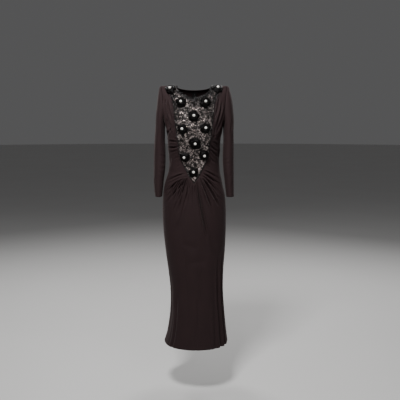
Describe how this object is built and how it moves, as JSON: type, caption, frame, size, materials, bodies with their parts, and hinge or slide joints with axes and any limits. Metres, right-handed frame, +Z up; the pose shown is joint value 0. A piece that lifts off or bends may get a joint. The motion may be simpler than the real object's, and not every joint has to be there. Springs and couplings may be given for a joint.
{
  "type": "evening gown",
  "caption": "Long-sleeved black jersey evening gown with an embroidered bib of fabric flowers and pearls, gathered at the waist into a long slim skirt.",
  "frame": {"origin": "between the shoulders at the height of the shoulder seams, in the body's middle plane, where the wearer holds the gown up", "axes": "+Z up, +X towards the picture's right, the front faces -Y"},
  "size_m": [0.391, 0.289, 1.2733],
  "materials": {
    "jersey": "matte black jersey with a soft warm sheen",
    "embroidery": "black ground covered with gunmetal sequins and silver-lined beads",
    "petal": "black petals of satin and velvet",
    "pearl": "glossy white pearl",
    "zip_tape": "black woven tape",
    "zip_metal": "black enamelled zip slider"
  },
  "bodies": {
    "gown": {"bib": "embroidery", "side_front_left": "jersey", "side_front_right": "jersey", "bodice_back_left": "jersey", "bodice_back_right": "jersey", "skirt_front": "jersey", "skirt_back_left": "jersey", "skirt_back_right": "jersey", "sleeve_left": "jersey", "sleeve_right": "jersey", "flower_01": "petal", "flower_02": "petal", "flower_03": "petal", "flower_04": "petal", "flower_05": "petal", "flower_06": "petal", "flower_07": "petal", "flower_08": "petal", "flower_09": "petal", "flower_10": "petal", "flower_11": "petal", "pearl_01": "pearl", "pearl_02": "pearl", "pearl_03": "pearl", "pearl_04": "pearl", "pearl_05": "pearl", "pearl_06": "pearl", "pearl_07": "pearl", "pearl_08": "pearl", "pearl_09": "pearl", "pearl_10": "pearl", "pearl_11": "pearl", "zip_tape": "zip_tape", "zip_slider": "zip_metal"},
    "pull_tab": {"zip_pull": "zip_metal"}
  },
  "joints": [
    {"name": "zip_pull_swing", "type": "hinge", "parent": "gown", "child": "pull_tab", "pos_m": [0, 0.06899, -0.0301], "axis": [1, 0, 0], "range_deg": [0, 150]}
  ]
}
